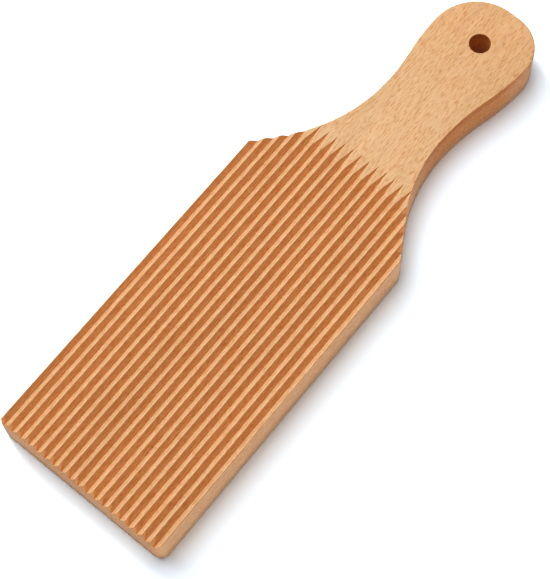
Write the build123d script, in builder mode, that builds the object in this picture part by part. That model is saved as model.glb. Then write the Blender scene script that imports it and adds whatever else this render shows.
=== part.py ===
"""Gnocchi board: a one-piece beech paddle with ridges milled along both faces of its blade.

Millimetres, +Z up. The board lies flat with its underside at Z = 0 and its length along Y. The
plain front end faces -Y, the handle points to +Y, and the origin is under the middle of the
board's box.
"""
import os
from math import cos, isclose, radians, sin, tan

from build123d import *

# Blank
overall_length = 219.5
blade_width = 67.0
thickness = 16.0
front_right_radius = 3.5
front_left_radius = 2.0
edge_radius = 0.6

# Grooves, the same on both faces: narrow ridges stand between them, and each one ends in a
# straight ramp where the cutter lifted out. A thin margin stays along each long edge.
groove_count = 19
groove_margin = 0.25
groove_angle = 100.0
ridge_land = 0.25
run_out_length = 6.8

# Handle, measured from the line on which the grooves end, along the handle's own axis. The neck
# lies a third of the way along it.
handle_length = 75.0
neck_width = 28.5
neck_from_grooves = handle_length / 3
handle_lean = 3.6
handle_offset = 2.0

# Round end: on each side a crown arc runs from the top to the widest place, and a long flank arc
# goes on to the waist. The right side is squarer, with a short flat at its top. The flanks grow
# with the handle.
end_flat = 4.2
left_crown_radius = 17.8
left_flank_radius = handle_length
right_crown_radius = 13.9
right_flank_radius = 1.12 * handle_length

# Shoulders
shoulder_sweep_radius = 58.5
left_shoulder_angle = 38.0
right_shoulder_angle = 34.5
shoulder_corner_radius = 1.0

# Hanging hole
hole_diameter = 7.4
hole_from_end = 16.3
hole_rim_radius = 0.3

# How far cutters and templates run past the wood
overrun = 5.0

# Groove pattern
groove_pitch = (blade_width - 2 * groove_margin) / groove_count
half_groove_tangent = tan(radians(groove_angle / 2))
groove_depth = (groove_pitch - ridge_land) / 2 / half_groove_tangent
cutter_half_width = (groove_depth + overrun) * half_groove_tangent
front_y = -overall_length / 2
groove_end_y = overall_length / 2 - handle_length
ramp_start_y = groove_end_y - run_out_length
ramp_share = (groove_depth + overrun) / groove_depth

# The handle's frame: the routed outline leans a little towards +X of the milled blade
lean = radians(handle_lean)
handle_plane = Plane(
    origin=(handle_offset, groove_end_y, 0),
    x_dir=(cos(lean), -sin(lean), 0),
    z_dir=(0, 0, 1),
)

# Round end and hanging hole, on the handle's axis
end_top_y = (handle_length - left_crown_radius) / cos(lean) + left_crown_radius
hole_radius = hole_diameter / 2
hole_y = end_top_y - hole_from_end
neck_half = neck_width / 2


def arc_about(centre, radius, start, end):
    """An arc of less than half a turn about a centre."""
    towards = (Vector(*start) + Vector(*end)) / 2 - Vector(*centre)
    middle = Vector(*centre) + towards.normalized() * radius
    return ThreePointArc(start, middle, end)


def handle_side(side, flat, crown_radius, flank_radius, shoulder_angle):
    """Outline of one side of the handle, which is 1 towards +X and -1 towards -X.

    The crown and flank arcs meet at the handle's widest place. The flank turns into the waist
    arc, tangent to it, which ends at the neck. The shoulder is an arc from the neck back and
    then straight out past the blade's long edge.
    """
    crown_y = end_top_y - crown_radius
    widest_x = flat + crown_radius
    flank_x = widest_x - flank_radius
    across = neck_half - flank_x
    along = crown_y - neck_from_grooves
    waist_radius = (across**2 + along**2 - flank_radius**2) / (2 * (flank_radius - across))
    waist_x = neck_half + waist_radius
    touch_share = flank_radius / (flank_radius + waist_radius)
    touch = (side * (flank_x + (waist_x - flank_x) * touch_share), crown_y - along * touch_share)
    top = (side * flat, end_top_y)
    widest = (side * widest_x, crown_y)
    neck = (side * neck_half, neck_from_grooves)
    arc_about((side * flat, crown_y), crown_radius, top, widest)
    arc_about((side * flank_x, crown_y), flank_radius, widest, touch)
    arc_about((side * waist_x, neck_from_grooves), waist_radius, touch, neck)

    turn = radians(shoulder_angle)
    sweep_centre_x = neck_half + shoulder_sweep_radius
    sweep_end_x = sweep_centre_x - shoulder_sweep_radius * cos(turn)
    sweep_end_y = neck_from_grooves - shoulder_sweep_radius * sin(turn)
    foot_x = blade_width / 2 + overrun
    foot_y = sweep_end_y - (foot_x - sweep_end_x) / tan(turn)
    sweep_end = (side * sweep_end_x, sweep_end_y)
    foot = (side * foot_x, foot_y)
    corner = (side * overall_length, foot_y)
    arc_about((side * sweep_centre_x, neck_from_grooves), shoulder_sweep_radius, neck, sweep_end)
    Polyline(sweep_end, foot, corner, (side * overall_length, -overall_length))


with BuildPart() as board:
    # Sawn blank, its front corners rounded in plan
    with BuildSketch(Plane((0, front_y, 0))) as blank_outline:
        Rectangle(blade_width, overall_length + overrun, align=(Align.CENTER, Align.MIN))
        for corner, radius in ((0, front_left_radius), (-1, front_right_radius)):
            front = blank_outline.vertices().group_by(Axis.Y)[0].sort_by(Axis.X)
            fillet(front[corner], radius)
    extrude(amount=thickness)

    # Shoulders and handle, routed to a template that stays clear of the blade's other edges
    with BuildSketch(handle_plane):
        with BuildLine():
            handle_side(-1, 0, left_crown_radius, left_flank_radius, left_shoulder_angle)
            handle_side(
                1, end_flat, right_crown_radius, right_flank_radius, right_shoulder_angle
            )
            Line((0, end_top_y), (end_flat, end_top_y))
            Line((overall_length, -overall_length), (-overall_length, -overall_length))
        make_face()
    extrude(amount=thickness, mode=Mode.INTERSECT)

    # The two corners where the shoulders leave the blade's long edges
    upright = board.edges().filter_by(Axis.Z)
    on_long_edges = upright.filter_by(lambda edge: isclose(abs(edge.center().X), blade_width / 2))
    fillet(on_long_edges.sort_by(Axis.Y)[-2:], shoulder_corner_radius)

    # Every edge of both faces is eased
    fillet(board.faces().filter_by(Axis.Z).edges(), edge_radius)

    # Grooves of the top face, then of the underside: each sketch looks along +Y, with its own Y
    # pointing into the wood
    for surface_z, across in ((thickness, 1), (0, -1)):
        ramp_start = Plane(
            origin=(0, ramp_start_y, surface_z),
            x_dir=(across, 0, 0),
            z_dir=(0, 1, 0),
        )
        lift = Vector(0, run_out_length, groove_depth * across)
        with BuildSketch(ramp_start) as cutters:
            with GridLocations(groove_pitch, 0, groove_count, 1):
                Polygon(
                    (0, groove_depth),
                    (cutter_half_width, -overrun),
                    (-cutter_half_width, -overrun),
                    align=None,
                )
        extrude(amount=ramp_start_y - front_y + overrun, dir=(0, -1, 0), mode=Mode.SUBTRACT)
        extrude(cutters.sketch, amount=lift.length * ramp_share, dir=lift, mode=Mode.SUBTRACT)

    # Hanging hole with an eased rim on both faces
    with BuildSketch(handle_plane):
        with Locations((0, hole_y)):
            Circle(hole_radius)
    extrude(amount=thickness, mode=Mode.SUBTRACT)
    circles = board.edges().filter_by(GeomType.CIRCLE)
    fillet(circles.filter_by(lambda edge: isclose(edge.radius, hole_radius)), hole_rim_radius)

board.part.label = "board"
os.makedirs("parts", exist_ok=True)
export_step(board.part, "parts/board.step")
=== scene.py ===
"""Gnocchi board: the finished look of a one-piece beech board with milled ridges.

The board is made as a joiner makes it: its outline is drawn and cut from a plank, its edges are
eased, the hanging hole is bored, the front end is worn, and the grooves are milled into both
faces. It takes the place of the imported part's one node. A pale floor, three lamps, a white
backdrop and a camera make the stage. Lengths are in metres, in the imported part's own frame: +Y
from the front end to the handle, +Z up.
"""

from math import atan2, ceil, cos, pi, radians, sin, tan
from types import SimpleNamespace

import bmesh
import bpy
from mathutils import Matrix, Vector


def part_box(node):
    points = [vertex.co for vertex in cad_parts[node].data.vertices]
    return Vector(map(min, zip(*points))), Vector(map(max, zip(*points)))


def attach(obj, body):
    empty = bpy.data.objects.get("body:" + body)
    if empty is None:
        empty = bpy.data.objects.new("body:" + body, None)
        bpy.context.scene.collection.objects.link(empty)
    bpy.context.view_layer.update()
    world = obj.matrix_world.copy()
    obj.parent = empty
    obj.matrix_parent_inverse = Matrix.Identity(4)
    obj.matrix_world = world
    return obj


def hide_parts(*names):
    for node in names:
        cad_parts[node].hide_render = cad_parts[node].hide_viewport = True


bl_info = {
    "name": "Gnocchi board",
    "version": (1, 0, 0),
    "blender": (4, 5, 0),
    "location": "3D View > Sidebar > Gnocchi board",
    "description": "Makes a beech gnocchi board with milled ridges, and a stage to show it on",
    "category": "Add Mesh",
}

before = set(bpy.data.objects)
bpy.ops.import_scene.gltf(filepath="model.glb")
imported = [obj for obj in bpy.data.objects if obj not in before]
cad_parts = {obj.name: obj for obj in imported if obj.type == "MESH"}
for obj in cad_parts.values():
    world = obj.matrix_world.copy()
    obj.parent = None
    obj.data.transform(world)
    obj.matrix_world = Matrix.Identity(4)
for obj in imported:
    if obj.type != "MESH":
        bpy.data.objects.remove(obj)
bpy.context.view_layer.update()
cad_low, cad_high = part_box("board")

MM = 0.001

# How close two places or two levels count as the same, and what a cleaned mesh merges
SAME_PLACE = 0.01 * MM
SAME_LEVEL = 0.001 * MM
MERGED = 0.002 * MM


# Sizes and colours


def length(name, description, default):
    """A length that a user can change, with its default in metres."""
    return bpy.props.FloatProperty(
        name=name,
        description=description,
        default=default,
        min=0.0,
        precision=5,
        subtype="DISTANCE",
        unit="LENGTH",
    )


def angle(name, description, degrees):
    """An angle that a user can change, with its default in degrees."""
    return bpy.props.FloatProperty(
        name=name,
        description=description,
        default=radians(degrees),
        subtype="ANGLE",
        unit="ROTATION",
    )


def colour(name, description, default):
    """A colour that a user can change, in linear red, green and blue."""
    return bpy.props.FloatVectorProperty(
        name=name,
        description=description,
        default=default,
        min=0.0,
        max=1.0,
        size=3,
        subtype="COLOR",
    )


def strength(name, description, default):
    """A strength that a user can change."""
    return bpy.props.FloatProperty(
        name=name, description=description, default=default, min=0.0, max=4.0
    )


class BoardSizes(bpy.types.PropertyGroup):
    """Sizes of the board, its grooves, its handle and its hole"""

    blade_width: length("Blade width", "Across the ridges", cad_high.x - cad_low.x)
    thickness: length("Thickness", "Underside to top face", cad_high.z - cad_low.z)
    front_right_radius: length("Right corner", "Front right corner in plan", 3.5 * MM)
    front_left_radius: length("Left corner", "Front left corner in plan", 0.8 * MM)
    front_slant: length("Front slant", "How far the left front corner stands back", 0.7 * MM)
    front_bevel: length("Front bevel", "Depth of the worn bevel on the front end", 1.4 * MM)
    bevel_lean: angle("Bevel lean", "Lean of that bevel from upright", 30.0)
    corner_wear: length("Corner wear", "Wood worn off the top of the left corner", 0.8 * MM)
    edge_radius: length("Eased edge", "Rounding of the edges of both faces", 0.4 * MM)

    groove_count: bpy.props.IntProperty(
        name="Grooves", description="Number of grooves on each face", default=19, min=1
    )
    groove_margin: length("Groove margin", "Wood left along each long edge", 0.25 * MM)
    groove_angle: angle("Groove angle", "Between the two walls of a groove", 100.0)
    crest_land: length("Crest land", "Narrow flat on top of a ridge", 0.06 * MM)
    run_out: length("Run-out", "Length over which a groove rises to the face", 7.8 * MM)
    tip_reach: length("Tip reach", "How far the groove tips run into the handle", 1.0 * MM)
    waver: length("Waver", "How far the ridges stray sideways", 0.09 * MM)
    row: length("Row", "Length of one row of faces along a groove", 1.2 * MM)

    handle_length: length("Handle length", "Groove ends to handle end", 75.0 * MM)
    neck_width: length("Neck width", "Narrowest part of the handle", 28.5 * MM)
    neck_place: length("Neck place", "Groove ends to the neck", 25.0 * MM)
    handle_lean: angle("Handle lean", "Lean of the handle towards +X", 3.6)
    handle_offset: length("Handle offset", "Shift of the handle towards +X", 2.0 * MM)
    end_flat: length("End flat", "Flat at the top of the round end", 4.2 * MM)
    left_crown: length("Left crown", "Round end, from the top to its left side", 17.8 * MM)
    left_flank: length("Left flank", "Long arc from there to the waist", 75.0 * MM)
    right_crown: length("Right crown", "Round end, from the flat to its right side", 13.9 * MM)
    right_flank: length("Right flank", "Long arc from there to the waist", 84.0 * MM)
    shoulder_sweep: length("Shoulder sweep", "Radius of both shoulders", 58.5 * MM)
    left_shoulder: angle("Left shoulder", "Turn of the left shoulder's arc", 38.0)
    right_shoulder: angle("Right shoulder", "Turn of the right shoulder's arc", 34.5)
    shoulder_corner: length("Shoulder corner", "Rounding where it meets the blade", 1.0 * MM)

    hole_radius: length("Hole radius", "Hanging hole", 3.7 * MM)
    hole_from_end: length("Hole from end", "Handle end to the hole's middle", 16.3 * MM)
    hole_rim: length("Hole rim", "Rounding of the hole's rims", 0.3 * MM)


class BeechLook(bpy.types.PropertyGroup):
    """Colours of the beech, with painted shade and painted highlights, and how strongly its grain
    shows
    """

    face: colour("Sanded face", "Sanded flat faces", (0.834, 0.505, 0.243))
    worn: colour("Held end", "The handle's face towards its round end", (0.801, 0.463, 0.209))
    milled: colour("Milled walls", "Groove walls that face -X", (0.738, 0.467, 0.244))
    # Painted highlight: the upper part of the walls that face -X, towards the key light, is
    # lighter
    crest: colour("Crest highlights", "Upper part of the walls that face -X", (0.846, 0.567, 0.314))
    # Painted shade: the groove walls that face +X, away from the key light, get this darker,
    # deeper colour
    shaded_wall: colour("Shaded walls", "Groove walls that face +X", (0.821, 0.360, 0.122))
    sawn: colour("Sawn sides", "Long sides of the blade", (0.800, 0.478, 0.259))
    # Also used as painted shade towards the groove valleys
    sides_and_valley_shade: colour("Handle sides and valley shade", "Sides of the handle", (0.646, 0.270, 0.076))
    bored: colour("Bored hole", "Upper part of the hole's wall", (0.780, 0.380, 0.110))
    end_grain: colour("End grain", "Front end", (0.800, 0.452, 0.223))
    # Painted shade on the walls that face +X near crests, valleys and tips, deep in the hole and
    # on the front end's teeth; it also darkens the handle's sides under the top face
    dark_shade_and_band: colour("Dark shade and band", "Painted shade, and a darker band under the handle's top", (0.520, 0.165, 0.018))
    # Painted shade on the sides near the floor
    foot_shade: colour("Foot shade", "Sides near the floor", (0.470, 0.315, 0.205))
    dark_grain: colour("Dark grain", "What grain does to a colour", (0.790, 0.580, 0.380))

    dashes: strength("Dashes", "Short dark dashes along the grain", 2.10)
    fibres: strength("Fibres", "Fine lines along the grain", 0.72)
    wall_mottle: strength("Wall mottle", "Small blotches on the groove walls", 0.40)
    side_mottle: strength("Side mottle", "Small blotches on the sides and ends", 0.64)


class StageLook(bpy.types.PropertyGroup):
    """Light, floor and camera"""

    floor: colour("Floor", "The floor's own colour", (0.92, 0.92, 0.92))
    floor_shown: strength("Floor as seen", "Whiteness of the floor for the camera", 1.50)
    ambient: strength("Ambient", "Even light from all round", 0.08)
    key_light: strength("Key light", "Light from the left on a level face", 0.245)
    top_light: strength("Top light", "Soft light from above on a level face", 0.72)
    side_light: strength("Side light", "Low light from the right on an upright face", 0.38)
    lens: bpy.props.FloatProperty(
        name="Lens",
        description="Focal length on a sensor 36 mm high",
        default=110.993,
        subtype="DISTANCE_CAMERA",
        unit="CAMERA",
    )


# Modelling by hand


def only(piece):
    """Makes a piece the one selected object."""
    if bpy.context.mode != "OBJECT":
        bpy.ops.object.mode_set(mode="OBJECT")
    bpy.ops.object.select_all(action="DESELECT")
    piece.select_set(True)
    bpy.context.view_layer.objects.active = piece


def added(name):
    """Names the primitive that was just added and opens it in edit mode, all selected."""
    piece = bpy.context.object
    piece.name = name
    piece.data.name = name
    only(piece)
    bpy.ops.object.mode_set(mode="EDIT")
    bpy.ops.mesh.select_all(action="SELECT")
    return piece


def pick(piece, kind, test):
    """In edit mode, selects only the vertices or edges that pass a test of their place."""
    bpy.ops.mesh.select_mode(type=kind)
    bpy.ops.mesh.select_all(action="DESELECT")
    mesh = bmesh.from_edit_mesh(piece.data)
    elements = {"VERT": mesh.verts, "EDGE": mesh.edges}[kind]
    chosen = [element for element in elements if test(element)]
    if not chosen:
        raise RuntimeError(f"{piece.name}: nothing found to select")
    for element in chosen:
        element.select_set(True)
    mesh.select_flush_mode()
    bmesh.update_edit_mesh(piece.data)


def push(x=0.0, y=0.0, z=0.0):
    """Extrudes what is selected."""
    bpy.ops.mesh.extrude_region_move(TRANSFORM_OT_translate={"value": (x, y, z)})


def face_outward():
    """In edit mode, turns all faces outward."""
    bpy.ops.mesh.select_all(action="SELECT")
    bpy.ops.mesh.normals_make_consistent(inside=False)


def apply_modifier(piece, kind, **settings):
    """Adds a modifier, sets it up and applies it."""
    only(piece)
    modifier = piece.modifiers.new(kind.title(), kind)
    for name, value in settings.items():
        setattr(modifier, name, value)
    bpy.ops.object.modifier_apply(modifier=modifier.name)


def cut(piece, cutter):
    """Cuts a closed cutter out of a piece and throws the cutter away."""
    apply_modifier(piece, "BOOLEAN", operation="DIFFERENCE", solver="MANIFOLD", object=cutter)
    bpy.data.objects.remove(cutter)


class Outline:
    """A closed line that is drawn in edit mode on the level Z = 0, stroke by stroke."""

    ARC_STROKE = 1.2 * MM
    CORNER_STROKE = 0.5 * MM
    FEWEST_ARC_STROKES = 2
    FEWEST_CORNER_STROKES = 3

    def __init__(self, name, start):
        bpy.ops.object.select_all(action="DESELECT")
        bpy.ops.mesh.primitive_plane_add(size=MM)
        self.piece = added(name)
        bpy.ops.mesh.merge(type="CENTER")
        bpy.ops.transform.translate(value=(*start, 0.0))
        self.start = self.pen = Vector(start)

    def line_to(self, point):
        """Draws a straight line on to a point."""
        step = point - self.pen
        push(step.x, step.y)
        self.pen = point

    def arc_about(self, centre, end):
        """Draws an arc about a centre, on to a point."""
        arm = self.pen - centre
        turn = arm.angle_signed(end - centre)
        steps = max(self.FEWEST_ARC_STROKES, ceil(abs(turn) * arm.length / self.ARC_STROKE))
        bpy.ops.mesh.spin(steps=steps, angle=turn, center=(*centre, 0.0), axis=(0, 0, 1))
        self.pen = end

    def close(self):
        """Joins the line's two ends."""
        ends = (self.start, self.pen)
        pick(self.piece, "VERT", lambda v: any((v.co.xy - p).length < SAME_PLACE for p in ends))
        bpy.ops.mesh.edge_face_add()

    def round_corner(self, point, radius, turn):
        """Rounds the corner at a point, where the line turns by an angle."""
        pick(self.piece, "VERT", lambda v: (v.co.xy - point).length < SAME_PLACE)
        bpy.ops.mesh.bevel(
            offset=radius * tan(turn / 2),
            segments=max(self.FEWEST_CORNER_STROKES, ceil(radius * turn / self.CORNER_STROKE)),
            affect="VERTICES",
        )


# Board

# Fineness of the eased edges, of the hole's rims and of the hole
EDGE_SEGMENTS = 4
RIM_SEGMENTS = 3
HOLE_SIDES = 72

# The underside's front edge stays sharp: it lies below this height and this near the front end
SHARP_HEIGHT = 1.0 * MM
SHARP_DEPTH = 4.0 * MM

# A side is told from a face by its normal, whose upright part is less than this
SIDE_NORMAL = 0.5

# How far the hole's rim may lie outside its radius
RIM_SLACK = 0.05 * MM

# Side of the blocks that wear wood away. The one along the front end is three times as long.
WEAR_BLOCK = 40 * MM
FRONT_WEAR_LENGTH = 3 * WEAR_BLOCK

# The groove cutter: how far it runs past the wood, the rows of its rise over the run-outs, the
# length of that rise as a share of the run-out, so that it clears the face, and the thickness
# and reach of the block behind its teeth
OVERRUN = 2 * MM
RISE_ROWS = 7
RISE_SHARE = 1.3
BLOCK_THICKNESS = 3 * MM
BLOCK_REACH = 8 * MM

# How the cutter strays: a direction, a share of the waver, and a length between two strays
STRAYS = (("X", 1.0, 6.0 * MM), ("Z", 0.2, 8.0 * MM))

# Edges that turn by less than this are shaded smooth
SMOOTH_ANGLE = radians(30)


def handle_start(sizes):
    """Where the grooves end and the handle's flat face begins."""
    return cad_high.y - sizes.handle_length


def groove_pitch(sizes):
    """Distance from one groove to the next."""
    return (sizes.blade_width - 2 * sizes.groove_margin) / sizes.groove_count


class Handle:
    """The handle's outline, in a plane of its own that leans away from the blade."""

    def __init__(self, sizes):
        self.sizes = sizes
        self.lean = sizes.handle_lean
        self.origin = Vector((sizes.handle_offset, handle_start(sizes)))
        rise = (sizes.handle_length - sizes.left_crown) / cos(self.lean)
        self.end_top = rise + sizes.left_crown
        self.hole = self.place(0.0, self.end_top - sizes.hole_from_end)

    def place(self, across, along):
        """A point of the handle's plane in the board's frame."""
        return self.origin + Vector(
            (
                across * cos(self.lean) + along * sin(self.lean),
                along * cos(self.lean) - across * sin(self.lean),
            )
        )

    def side(self, side, flat, crown, flank, turn):
        """Points and arc centres of one side, which is 1 for +X and -1 for -X.

        The last two are the line's turn where it meets the blade's long edge, and that corner.
        """
        sizes = self.sizes
        neck_half = sizes.neck_width / 2
        crown_along = self.end_top - crown
        flank_across = flat + crown - flank
        across = neck_half - flank_across
        along = crown_along - sizes.neck_place
        waist = (across**2 + along**2 - flank**2) / (2 * (flank - across))
        reach = flank / (flank + waist)
        touch_across = flank_across + (neck_half + waist - flank_across) * reach
        sweep_centre = neck_half + sizes.shoulder_sweep
        sweep_across = sweep_centre - sizes.shoulder_sweep * cos(turn)
        sweep_along = sizes.neck_place - sizes.shoulder_sweep * sin(turn)
        points = {
            "sweep_end": self.place(side * sweep_across, sweep_along),
            "sweep_centre": self.place(side * sweep_centre, sizes.neck_place),
            "neck": self.place(side * neck_half, sizes.neck_place),
            "waist_centre": self.place(side * (neck_half + waist), sizes.neck_place),
            "touch": self.place(side * touch_across, crown_along - along * reach),
            "flank_centre": self.place(side * flank_across, crown_along),
            "widest": self.place(side * (flat + crown), crown_along),
            "crown_centre": self.place(side * flat, crown_along),
            "top": self.place(side * flat, self.end_top),
        }
        # The shoulder runs straight on from its arc to the blade's long edge
        points["turn"] = turn - side * self.lean
        edge = side * sizes.blade_width / 2
        run = (edge - points["sweep_end"].x) * side / tan(points["turn"])
        points["corner"] = Vector((edge, points["sweep_end"].y - run))
        return points


def draw_blank(sizes, handle):
    """Draws the board's outline, sets it to the plank's thickness and eases its edges."""
    half = sizes.blade_width / 2
    front_left = Vector((-half, cad_low.y + sizes.front_slant))
    front_right = Vector((half, cad_low.y))
    right = handle.side(
        1, sizes.end_flat, sizes.right_crown, sizes.right_flank, sizes.right_shoulder
    )
    left = handle.side(-1, 0.0, sizes.left_crown, sizes.left_flank, sizes.left_shoulder)

    outline = Outline("beech_board", front_left)
    outline.line_to(front_right)
    outline.line_to(right["corner"])
    outline.line_to(right["sweep_end"])
    outline.arc_about(right["sweep_centre"], right["neck"])
    outline.arc_about(right["waist_centre"], right["touch"])
    outline.arc_about(right["flank_centre"], right["widest"])
    outline.arc_about(right["crown_centre"], right["top"])
    outline.line_to(left["top"])
    outline.arc_about(left["crown_centre"], left["widest"])
    outline.arc_about(left["flank_centre"], left["touch"])
    outline.arc_about(left["waist_centre"], left["neck"])
    outline.arc_about(left["sweep_centre"], left["sweep_end"])
    outline.line_to(left["corner"])
    outline.close()
    outline.round_corner(front_left, sizes.front_left_radius, pi / 2)
    outline.round_corner(front_right, sizes.front_right_radius, pi / 2)
    for side in (left, right):
        outline.round_corner(side["corner"], sizes.shoulder_corner, side["turn"])

    board = outline.piece
    bpy.ops.mesh.select_all(action="SELECT")
    bpy.ops.mesh.edge_face_add()
    push(z=sizes.thickness)
    face_outward()

    def eased(edge):
        return all(
            v.co.z > SHARP_HEIGHT or v.co.y > cad_low.y + SHARP_DEPTH for v in edge.verts
        )

    ease_edges(board, sizes.edge_radius, EDGE_SEGMENTS, eased)
    return board


def ease_edges(board, radius, segments, chosen):
    """Rounds those edges of the board's two faces that pass a test."""
    faces = (cad_low.z, cad_high.z)

    def on_a_face(edge):
        heights = [v.co.z for v in edge.verts]
        return (
            any(all(abs(z - level) < SAME_LEVEL for z in heights) for level in faces)
            and any(abs(face.normal.z) < SIDE_NORMAL for face in edge.link_faces)
            and chosen(edge)
        )

    only(board)
    bpy.ops.object.mode_set(mode="EDIT")
    pick(board, "EDGE", on_a_face)
    bpy.ops.mesh.bevel(offset=radius, segments=segments, affect="EDGES")
    bpy.ops.object.mode_set(mode="OBJECT")


def bore_hole(board, sizes, handle):
    """Bores the hanging hole and eases both of its rims."""
    bpy.ops.object.select_all(action="DESELECT")
    bpy.ops.mesh.primitive_cylinder_add(
        vertices=HOLE_SIDES,
        radius=sizes.hole_radius,
        depth=2 * sizes.thickness,
        location=(*handle.hole, sizes.thickness / 2),
    )
    cutter = added("hole_cutter")
    bpy.ops.object.mode_set(mode="OBJECT")
    cut(board, cutter)
    rim = sizes.hole_radius + RIM_SLACK
    ease_edges(
        board,
        sizes.hole_rim,
        RIM_SEGMENTS,
        lambda edge: all((v.co.xy - handle.hole).length < rim for v in edge.verts),
    )


def wear_front(board, sizes):
    """Takes the worn bevel off the front end's top edge, and some wood off its left corner."""
    front = (0.0, cad_low.y + sizes.front_slant / 2)
    slant = atan2(sizes.front_slant, sizes.blade_width)
    bevel = sizes.front_bevel * sin(sizes.bevel_lean)
    wear(board, front, -slant, sizes.bevel_lean, bevel, FRONT_WEAR_LENGTH)
    corner = (cad_low.x, cad_low.y + sizes.front_slant)
    corner_lean = atan2(sizes.corner_wear, sizes.thickness)
    wear(board, corner, -pi / 4, corner_lean, sizes.corner_wear, WEAR_BLOCK)


def wear(board, place, turn, lean, depth, width):
    """Cuts away what lies outside a leaning plane, some way inside a place on the top face.

    The plane faces -Y before its turn about Z, and its top leans inward.
    """
    inward = Vector((-sin(turn) * cos(lean), cos(turn) * cos(lean), -sin(lean)))
    bpy.ops.object.select_all(action="DESELECT")
    bpy.ops.mesh.primitive_cube_add(
        size=1.0,
        location=Vector((*place, cad_high.z)) + inward * (depth - WEAR_BLOCK / 2),
        rotation=(-lean, 0.0, turn),
        scale=(width, WEAR_BLOCK, WEAR_BLOCK),
    )
    cutter = added("wear_cutter")
    bpy.ops.object.mode_set(mode="OBJECT")
    cut(board, cutter)


def groove_cutter(sizes, outward):
    """The milling cutter's sweep over one face, 1 for the top and -1 for the underside.

    A level sheet is folded into ridges and valleys, rises over the run-outs, and is thickened away
    from the wood into a closed block. Its folds stand a little above the face, which leaves a
    narrow land on each ridge.
    """
    pitch = groove_pitch(sizes)
    fall = pitch / 2 / tan(sizes.groove_angle / 2)
    depth = (pitch - sizes.crest_land) / 2 / tan(sizes.groove_angle / 2)
    width = pitch * sizes.groove_count
    front = cad_low.y - OVERRUN
    ramp_start = handle_start(sizes) + sizes.tip_reach - sizes.run_out
    rows = round((ramp_start - front) / sizes.row)

    bpy.ops.object.select_all(action="DESELECT")
    bpy.ops.mesh.primitive_grid_add(
        x_subdivisions=2 * sizes.groove_count, y_subdivisions=rows, size=1.0
    )
    cutter = added("groove_cutter")
    bpy.ops.transform.resize(value=(width, ramp_start - front, 1.0), center_override=(0, 0, 0))
    bpy.ops.transform.translate(
        value=(0.0, (ramp_start + front) / 2, cad_high.z + fall - depth)
    )

    def column(vertex):
        return round((vertex.co.x + width / 2) / (pitch / 2))

    pick(cutter, "VERT", lambda v: column(v) % 2 == 1)
    bpy.ops.transform.translate(value=(0.0, 0.0, -fall))
    # Run-outs at the handle, and a clear strip along each edge
    pick(cutter, "VERT", lambda v: v.co.y > ramp_start - SAME_PLACE)
    step = sizes.run_out * RISE_SHARE / RISE_ROWS
    for _ in range(RISE_ROWS):
        push(y=step, z=step * depth / sizes.run_out)
    for side in (-1, 1):
        pick(cutter, "VERT", lambda v: v.co.x * side > width / 2 - SAME_PLACE)
        push(x=side * OVERRUN, z=OVERRUN)

    bpy.ops.mesh.select_all(action="SELECT")
    if outward < 0:
        bpy.ops.transform.rotate(
            value=pi, orient_axis="Y", center_override=(0, 0, sizes.thickness / 2)
        )
    waver_cutter(cutter, sizes)

    only(cutter)
    bpy.ops.object.mode_set(mode="EDIT")
    bpy.ops.mesh.select_all(action="SELECT")
    push(z=outward * BLOCK_THICKNESS)
    back = sizes.thickness / 2 + outward * (sizes.thickness / 2 + BLOCK_REACH)
    bpy.ops.transform.resize(value=(1, 1, 0), center_override=(0, 0, back))
    face_outward()
    bpy.ops.object.mode_set(mode="OBJECT")
    return cutter


def waver_cutter(cutter, sizes):
    """Lets the ridges stray a little to the side and in depth, as a hand-fed cutter does."""
    for direction, share, grain in STRAYS:
        stray = bpy.data.textures.new(f"stray_{direction}", "CLOUDS")
        stray.noise_scale = grain
        stray.noise_depth = 1
        apply_modifier(
            cutter,
            "DISPLACE",
            texture=stray,
            texture_coords="LOCAL",
            direction=direction,
            strength=sizes.waver * share,
        )
        bpy.data.textures.remove(stray)


def finish_surface(board):
    """Cleans the milled mesh and shades it smooth between its real edges."""
    only(board)
    bpy.ops.object.mode_set(mode="EDIT")
    bpy.ops.mesh.select_all(action="SELECT")
    bpy.ops.mesh.remove_doubles(threshold=MERGED)
    face_outward()
    bpy.ops.object.mode_set(mode="OBJECT")
    bpy.ops.object.transform_apply(location=True, rotation=True, scale=True)
    bpy.ops.object.shade_smooth_by_angle(angle=SMOOTH_ANGLE)
    apply_modifier(board, "WEIGHTED_NORMAL", keep_sharp=True)


# Shader expressions

# Sockets of a Mix node that mixes colours
MIX_FACTOR, MIX_FIRST, MIX_SECOND, MIX_RESULT = 0, 6, 7, 2

# Spots: their full dark core as a share of their radius, the tone of the faintest one, and the
# narrow step in chance between a spot that is kept and one that isn't
SPOT_CORE_SHARE = 0.35
FAINTEST_SPOT = 0.4
NARROW_STEP = 0.001


class Value:
    """A number, colour or vector that a shader works out, for use in plain expressions."""

    def __init__(self, shader, socket):
        self.shader = shader
        self.socket = socket

    def beside(self, output):
        """Another output of the node that works this value out."""
        return Value(self.shader, self.socket.node.outputs[output])

    def _math(self, operation, *numbers):
        return self.shader.node("ShaderNodeMath", {"operation": operation}, numbers)

    def __add__(self, other):
        return self._math("ADD", self, other)

    __radd__ = __add__

    def __mul__(self, other):
        return self._math("MULTIPLY", self, other)

    __rmul__ = __mul__

    def __sub__(self, other):
        return self._math("SUBTRACT", self, other)

    def __rsub__(self, other):
        return self._math("SUBTRACT", other, self)

    def __abs__(self):
        return self._math("ABSOLUTE", self)

    def folded(self, width):
        """Runs from zero to a width and back, over and over, as the value grows."""
        return self._math("PINGPONG", self, width)

    def step(self, start, end):
        """Eases from 0 to 1 as the value goes from start to end, which may run down."""
        rises = start < end
        return self.shader.node(
            "ShaderNodeMapRange",
            {"interpolation_type": "SMOOTHSTEP"},
            {
                "Value": self,
                "From Min": min(start, end),
                "From Max": max(start, end),
                "To Min": 0.0 if rises else 1.0,
                "To Max": 1.0 if rises else 0.0,
            },
        )


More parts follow.
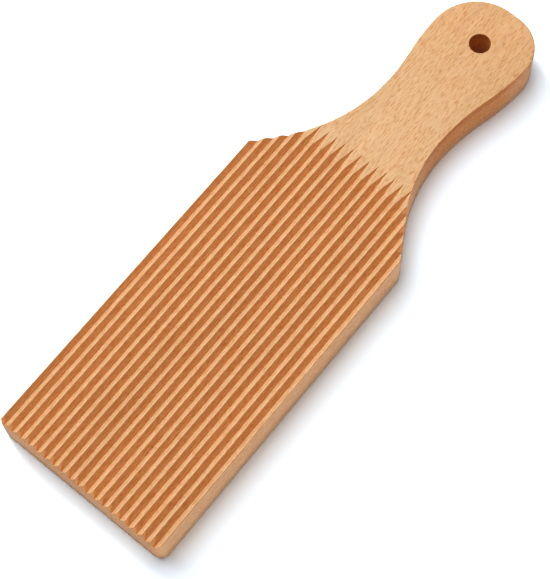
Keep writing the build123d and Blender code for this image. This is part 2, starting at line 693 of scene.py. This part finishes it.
class Shader:
    """The node tree of a material or of the world, built from expressions."""

    def __init__(self, owner):
        owner.use_nodes = True
        self.tree = owner.node_tree
        self.tree.nodes.clear()

    def node(self, kind, settings=None, inputs=(), output=0):
        """Adds a node: its settings first, then the values or links of its sockets."""
        made = self.tree.nodes.new(kind)
        for name, value in (settings or {}).items():
            setattr(made, name, value)
        pairs = inputs.items() if isinstance(inputs, dict) else enumerate(inputs)
        for key, value in pairs:
            socket = made.inputs[key]
            if isinstance(value, Value):
                self.tree.links.new(value.socket, socket)
            elif socket.type == "RGBA":
                socket.default_value = (*value[:3], 1.0)
            else:
                socket.default_value = value
        return Value(self, made.outputs[output]) if len(made.outputs) else None

    def split(self, vector):
        """The three numbers of a vector or colour."""
        first = self.node("ShaderNodeSeparateXYZ", None, (vector,))
        return first, first.beside(1), first.beside(2)

    def mix(self, cover, first, second, blend="MIX"):
        """Lays a second colour over a first one."""
        return self.node(
            "ShaderNodeMix",
            {"data_type": "RGBA", "blend_type": blend, "clamp_factor": True},
            {MIX_FACTOR: cover, MIX_FIRST: first, MIX_SECOND: second},
            MIX_RESULT,
        )

    def scaled(self, place, cell):
        """A place counted in cells, whose three sizes are in millimetres."""
        return self.node(
            "ShaderNodeMapping",
            {"vector_type": "POINT"},
            {"Vector": place, "Scale": tuple(1.0 / (size * MM) for size in cell)},
        )

    def noise(self, place, cell, detail, roughness=0.5):
        """Soft noise with features about as large as a cell in millimetres."""
        return self.node(
            "ShaderNodeTexNoise",
            {"noise_dimensions": "3D"},
            {
                "Vector": self.scaled(place, cell),
                "Scale": 1.0,
                "Detail": detail,
                "Roughness": roughness,
            },
        )

    def spots(self, place, cell, radius, kept):
        """Spots of a radius in cells, one in each cell that is kept, softly edged."""
        distance = self.node(
            "ShaderNodeTexVoronoi",
            {"voronoi_dimensions": "3D", "feature": "F1"},
            {"Vector": self.scaled(place, cell), "Scale": 1.0},
        )
        chance, tone, _ = self.split(distance.beside("Color"))
        inside = distance.step(radius, radius * SPOT_CORE_SHARE)
        there = chance.step(1.0 - kept, 1.0 - kept + NARROW_STEP)
        return inside * there * (tone * (1.0 - FAINTEST_SPOT) + FAINTEST_SPOT)


# Beech

# Each pair below says where a mask begins to show and where it shows in full

# By how level a surface lies, from 0 for upright to 1 for level
FACE_TO_WALL = (0.97, 0.90)
SIDE_TO_WALL = (0.60, 0.70)
WALL_TO_SIDE = (0.68, 0.50)

# By the normal's X for walls that face +X, and by its Y for the front end
FACES_RIGHT = (-0.2, 0.2)
FACES_FRONT = (-0.55, -0.80)

# By the place along the board, from the middle of its length
FRONT_END = (-100 * MM, -104 * MM)
WAIST_START = (30 * MM, 58 * MM)
WAIST_END = (80 * MM, 96 * MM)
HELD_END = (62 * MM, 100 * MM)

# By the place along the board, from the line on which the grooves end
ON_BLADE = (2.5 * MM, 1.5 * MM)
AT_TIPS = (-3.5 * MM, 0.5 * MM)

# By the height above the floor
IN_HOLE = (14.0 * MM, 2.0 * MM)
FOOT = (7.0 * MM, 1.5 * MM)
TOOTH_HEIGHT = (1.6 * MM, 0.4 * MM)

# By the height above the middle of the thickness
UNDER_TOP = (3.5 * MM, 6.5 * MM)

# By the distance from the middle of the thickness, up or down
CREST = (7.3 * MM, 7.8 * MM)
VALLEY = (7.0 * MM, 6.6 * MM)

# By the distance from the nearest valley's middle, and from the hole's middle
TOOTH_WIDTH = (0.5 * MM, 1.5 * MM)
HOLE_WALL = (11.0 * MM, 10.0 * MM)

# How strongly one colour shows over another. Apart from the fade at the waist's end and the
# darkening under the top, these lay painted shade: in the valleys, on the walls that face +X near
# crests, valleys and tips, deep in the hole, on the front end's teeth and on the sides near the
# floor
WAIST_END_FADE = 0.6
VALLEY_SHADE = 0.60
CREST_SHADE = 0.12
VALLEY_DEEP_SHADE = 0.30
TIP_SHADE = 0.55
UNDER_TOP_DARKENING = 0.8
HOLE_SHADE = 0.6
TOOTH_SHADE = 0.6
FOOT_SHADE = 0.60

# Cells of the grain's features in millimetres, across, along and through the board
DRIFT_CELL = (14, 90, 14)
BAND_CELL = (2.6, 60, 5.0)
FIBRE_CELL = (0.22, 4.0, 0.22)
DASH_CELL = (0.38, 2.5, 0.38)
MOTTLE_CELL = (0.4, 0.7, 0.4)

# Between which levels of their noise fibres and blotches show, and the dashes' radius and share
FIBRE_LEVELS = (0.32, 0.68)
MOTTLE_LEVELS = (0.35, 0.65)
DASH_RADIUS = 0.46
DASHES_KEPT = 0.62

# What is taken off the grain's darkness everywhere, and on the sides
CLEAR_WOOD = 0.17
CLEAR_SIDES = 0.16

# Tone of the wood, how far drift and bands move it up and down from the middle of their noise,
# and how much lighter walls are
TONE = 1.06
DRIFT_RANGE = 0.22
BAND_RANGE = 0.22
NOISE_MIDDLE = 0.5
WALL_LIFT = 0.04

# Surface
GRAIN_RELIEF = 0.006 * MM
ROUGHNESS = 0.54
ROUGHER_GRAIN = 0.1


def parts_of_board(shader, place, sizes, handle):
    """Masks that say what a spot of the surface belongs to."""
    x, y, z = shader.split(place)
    normal_x, normal_y, normal_z = shader.split(place.beside("Normal"))
    level = abs(normal_z)
    from_grooves = y - handle_start(sizes)
    from_middle = z - sizes.thickness / 2
    from_valley = x.folded(groove_pitch(sizes) / 2)
    hole_middle = (*handle.hole, sizes.thickness / 2)
    from_hole = shader.node(
        "ShaderNodeVectorMath", {"operation": "DISTANCE"}, (place, hole_middle), "Value"
    )

    part = SimpleNamespace()
    part.held = y.step(*HELD_END)
    part.wall = level.step(*FACE_TO_WALL) * level.step(*SIDE_TO_WALL)
    part.right_wall = part.wall * normal_x.step(*FACES_RIGHT)
    part.on_blade = from_grooves.step(*ON_BLADE)
    part.tips = from_grooves.step(*AT_TIPS)
    part.crest = abs(from_middle).step(*CREST)
    part.valley = abs(from_middle).step(*VALLEY)
    part.side = level.step(*WALL_TO_SIDE)
    part.waist = part.side * y.step(*WAIST_START) * (1.0 - WAIST_END_FADE * y.step(*WAIST_END))
    part.under_top = from_middle.step(*UNDER_TOP)
    part.bored = part.side * from_hole.step(*HOLE_WALL)
    part.deep = z.step(*IN_HOLE)
    part.foot = (part.side - part.bored) * z.step(*FOOT)
    part.front = part.side * normal_y.step(*FACES_FRONT) * y.step(*FRONT_END)
    part.tooth = from_valley.step(*TOOTH_WIDTH) * z.step(*TOOTH_HEIGHT)
    return part


def colours_with_painted_light(shader, look, part):
    """The colour of each part of the board, one colour laid over another, painted shade and
    painted highlights among them.
    """
    blade_wall = part.wall * part.on_blade
    wall_shade = part.crest * CREST_SHADE + part.valley * VALLEY_DEEP_SHADE + part.tips * TIP_SHADE
    laid = look.face
    for cover, layer_colour in (
        (part.held, look.worn),
        (blade_wall, look.milled),
        # Painted highlight towards the crests of the walls that face -X
        (blade_wall * part.crest, look.crest),
        # Painted shade towards the valleys
        (blade_wall * part.valley * VALLEY_SHADE, look.sides_and_valley_shade),
        # Painted shade: the walls that face +X are darker
        (part.right_wall * part.on_blade, look.shaded_wall),
        # Painted shade on those walls near crests, valleys and tips
        (part.right_wall * wall_shade, look.dark_shade_and_band),
        (part.side, look.sawn),
        (part.waist, look.sides_and_valley_shade),
        (part.bored, look.bored),
        # Painted shade deep in the hole
        (part.bored * part.deep * HOLE_SHADE, look.dark_shade_and_band),
        # The handle's sides are darker just under the top face
        (part.waist * part.under_top * UNDER_TOP_DARKENING, look.dark_shade_and_band),
        (part.front, look.end_grain),
        # Painted shade on the front end's teeth near the floor
        (part.front * part.tooth * TOOTH_SHADE, look.dark_shade_and_band),
        # Painted shade on the sides near the floor
        (part.foot * FOOT_SHADE, look.foot_shade),
    ):
        laid = shader.mix(cover, laid, layer_colour)
    return laid


def grain(shader, place, look, part):
    """How dark the grain is: fibres, and the short dashes that beech shows along its grain."""
    fibres = shader.noise(place, FIBRE_CELL, detail=1.0).step(*FIBRE_LEVELS)
    dashes = shader.spots(place, DASH_CELL, DASH_RADIUS, DASHES_KEPT)
    mottle = shader.noise(place, MOTTLE_CELL, detail=1.0).step(*MOTTLE_LEVELS)
    lines = dashes * look.dashes + fibres * look.fibres
    on_walls = part.wall * mottle * look.wall_mottle
    on_sides = part.side * (mottle * look.side_mottle - CLEAR_SIDES)
    return lines + on_walls + on_sides - CLEAR_WOOD


def tone_of_wood(shader, place, part):
    """Slow drift of tone and growth bands."""
    drift = shader.noise(place, DRIFT_CELL, detail=2.0) - NOISE_MIDDLE
    bands = shader.noise(place, BAND_CELL, detail=2.0, roughness=0.55) - NOISE_MIDDLE
    return TONE + drift * DRIFT_RANGE + bands * BAND_RANGE + part.wall * WALL_LIFT


def beech(look, sizes, handle):
    """Solid beech, whose grain runs along the board and through its whole thickness."""
    material = bpy.data.materials.new("beech")
    shader = Shader(material)
    place = shader.node("ShaderNodeTexCoord", output="Object")
    part = parts_of_board(shader, place, sizes, handle)
    dark = grain(shader, place, look, part)
    toned = shader.node(
        "ShaderNodeVectorMath",
        {"operation": "SCALE"},
        {"Vector": colours_with_painted_light(shader, look, part), "Scale": tone_of_wood(shader, place, part)},
    )
    relief = shader.node(
        "ShaderNodeBump", None, {"Distance": GRAIN_RELIEF, "Height": 1.0 - dark}
    )
    surface = shader.node(
        "ShaderNodeBsdfPrincipled",
        None,
        {
            "Base Color": shader.mix(dark, toned, look.dark_grain, "MULTIPLY"),
            "Roughness": ROUGHNESS + dark * ROUGHER_GRAIN,
            "Normal": relief,
            "IOR": 1.45,
        },
    )
    shader.node("ShaderNodeOutputMaterial", None, {"Surface": surface})
    return material


class MESH_OT_beech_board(bpy.types.Operator):
    """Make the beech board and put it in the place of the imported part's node"""

    bl_idname = "mesh.beech_board"
    bl_label = "Beech board"
    bl_options = {"REGISTER", "UNDO"}

    def execute(self, context):
        sizes = context.scene.board_sizes
        handle = Handle(sizes)
        board = draw_blank(sizes, handle)
        bore_hole(board, sizes, handle)
        wear_front(board, sizes)
        for outward in (1, -1):
            cut(board, groove_cutter(sizes, outward))
        finish_surface(board)
        board.data.materials.clear()
        board.data.materials.append(beech(context.scene.beech_look, sizes, handle))
        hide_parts("board")
        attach(board, "root")
        return {"FINISHED"}


# Stage

# The floor: its width, its gap under the board, the cool tint that it has for the camera, and
# the distances over which it fades out there
FLOOR_WIDTH = 3.0
FLOOR_GAP = 0.02 * MM
FLOOR_TINT = (1.0, 1.13, 1.24)
FLOOR_FADE = (0.20, 0.42)

# Each lamp's distance from the origin
LAMP_DISTANCE = 1.3

# The camera, fitted to the photograph: the point of the top face that it looks at in
# millimetres, its distance from there, its turn from +Y, its angle above the board and its roll
CAMERA_AIM = (7.428, -20.122, 16.0)
CAMERA_DISTANCE = 579.314 * MM
CAMERA_AZIMUTH = radians(-44.0667)
CAMERA_ELEVATION = radians(68.3935)
CAMERA_ROLL = radians(-5.4682)
SENSOR_HEIGHT = 36.0
CLIP_START = 10 * MM


def lay_floor(look):
    """A pale floor just under the board, whiter for the camera than its own colour.

    It fades out at a distance, so its far edge doesn't show from low down.
    """
    bpy.ops.object.select_all(action="DESELECT")
    bpy.ops.mesh.primitive_plane_add(size=FLOOR_WIDTH, location=(0, 0, cad_low.z - FLOOR_GAP))
    floor = bpy.context.object
    floor.name = "floor"
    material = bpy.data.materials.new("floor")
    shader = Shader(material)
    to_camera = shader.node("ShaderNodeLightPath", output="Is Camera Ray")
    shown = tuple(look.floor_shown * tint for tint in FLOOR_TINT)
    surface = shader.node(
        "ShaderNodeBsdfDiffuse", None, {"Color": shader.mix(to_camera, look.floor, shown)}
    )
    place = shader.node("ShaderNodeTexCoord", output="Object")
    distance = shader.node("ShaderNodeVectorMath", {"operation": "LENGTH"}, (place,), "Value")
    clear = shader.node("ShaderNodeBsdfTransparent")
    faded = shader.node(
        "ShaderNodeMixShader",
        None,
        {"Fac": to_camera * distance.step(*FLOOR_FADE), 1: surface, 2: clear},
    )
    shader.node("ShaderNodeOutputMaterial", None, {"Surface": faded})
    floor.data.materials.append(material)


def hang_lamp(name, level, azimuth, height, size, on_face="level"):
    """A square soft lamp that looks at the board.

    Azimuth turns from +X towards +Y, and height is its angle above the floor, both in degrees.
    Level is the light that it gives a level or an upright face, as a share of what shows a colour
    as written.
    """
    turn, rise = radians(azimuth), radians(height)
    way = Vector((cos(turn) * cos(rise), sin(turn) * cos(rise), sin(rise)))
    slant = sin(rise) if on_face == "level" else cos(rise)
    data = bpy.data.lights.new(name, "AREA")
    data.shape = "SQUARE"
    data.size = size
    data.energy = level / slant * (pi * LAMP_DISTANCE) ** 2
    lamp = bpy.data.objects.new(name, data)
    lamp.location = way * LAMP_DISTANCE
    lamp.rotation_euler = way.to_track_quat("Z", "Y").to_euler()
    bpy.context.scene.collection.objects.link(lamp)


def light_world(look):
    """Even light from all round, behind which the camera sees plain white."""
    world = bpy.data.worlds.new("studio")
    shader = Shader(world)
    to_camera = shader.node("ShaderNodeLightPath", output="Is Camera Ray")
    brightness = to_camera * (1.0 - look.ambient) + look.ambient
    background = shader.node(
        "ShaderNodeBackground", None, {"Color": (1.0, 1.0, 1.0), "Strength": brightness}
    )
    shader.node("ShaderNodeOutputWorld", None, {"Surface": background})
    bpy.context.scene.world = world


def set_camera(look):
    """The camera stands where the photographer's stood, worked out from the ridge lines."""
    azimuth, elevation = CAMERA_AZIMUTH, CAMERA_ELEVATION
    view = Vector(
        (sin(azimuth) * cos(elevation), cos(azimuth) * cos(elevation), -sin(elevation))
    )
    right = Vector((cos(azimuth), -sin(azimuth), 0.0))
    up = right.cross(view)
    rolled_right = cos(CAMERA_ROLL) * right + sin(CAMERA_ROLL) * up
    rolled_up = cos(CAMERA_ROLL) * up - sin(CAMERA_ROLL) * right
    data = bpy.data.cameras.new("camera")
    data.sensor_fit = "VERTICAL"
    data.sensor_height = SENSOR_HEIGHT
    data.lens = look.lens
    data.clip_start = CLIP_START
    camera = bpy.data.objects.new("camera", data)
    turn = Matrix((rolled_right, rolled_up, -view)).transposed()
    place = Vector(CAMERA_AIM) * MM - view * CAMERA_DISTANCE
    camera.matrix_world = Matrix.Translation(place) @ turn.to_4x4()
    bpy.context.scene.collection.objects.link(camera)
    bpy.context.scene.camera = camera


class SCENE_OT_board_stage(bpy.types.Operator):
    """Set up the floor, the lamps, the backdrop and the camera"""

    bl_idname = "scene.board_stage"
    bl_label = "Stage"
    bl_options = {"REGISTER", "UNDO"}

    def execute(self, context):
        look = context.scene.stage_look
        context.scene.view_settings.view_transform = "Standard"
        lay_floor(look)
        hang_lamp("key", look.key_light, azimuth=165, height=38, size=0.40)
        hang_lamp("top", look.top_light, azimuth=165, height=72, size=1.0)
        hang_lamp("side", look.side_light, azimuth=-30, height=3, size=0.12, on_face="upright")
        light_world(look)
        set_camera(look)
        return {"FINISHED"}


# Panel and start


class VIEW3D_PT_gnocchi_board(bpy.types.Panel):
    """Lists the board's sizes, its colours and the two things that can be made"""

    bl_label = "Gnocchi board"
    bl_idname = "VIEW3D_PT_gnocchi_board"
    bl_space_type = "VIEW_3D"
    bl_region_type = "UI"
    bl_category = "Gnocchi board"

    def draw(self, context):
        for group, operator in (
            ("board_sizes", MESH_OT_beech_board),
            ("beech_look", None),
            ("stage_look", SCENE_OT_board_stage),
        ):
            box = self.layout.box()
            settings = getattr(context.scene, group)
            for name in settings.__annotations__:
                box.prop(settings, name)
            if operator:
                box.operator(operator.bl_idname)


GROUPS = {"board_sizes": BoardSizes, "beech_look": BeechLook, "stage_look": StageLook}
CLASSES = (*GROUPS.values(), MESH_OT_beech_board, SCENE_OT_board_stage, VIEW3D_PT_gnocchi_board)


def register():
    for kind in CLASSES:
        bpy.utils.register_class(kind)
    for name, kind in GROUPS.items():
        setattr(bpy.types.Scene, name, bpy.props.PointerProperty(type=kind))


def unregister():
    for name in GROUPS:
        delattr(bpy.types.Scene, name)
    for kind in reversed(CLASSES):
        bpy.utils.unregister_class(kind)


def main():
    register()
    bpy.ops.mesh.beech_board()
    bpy.ops.scene.board_stage()


if __name__ == "__main__":
    main()
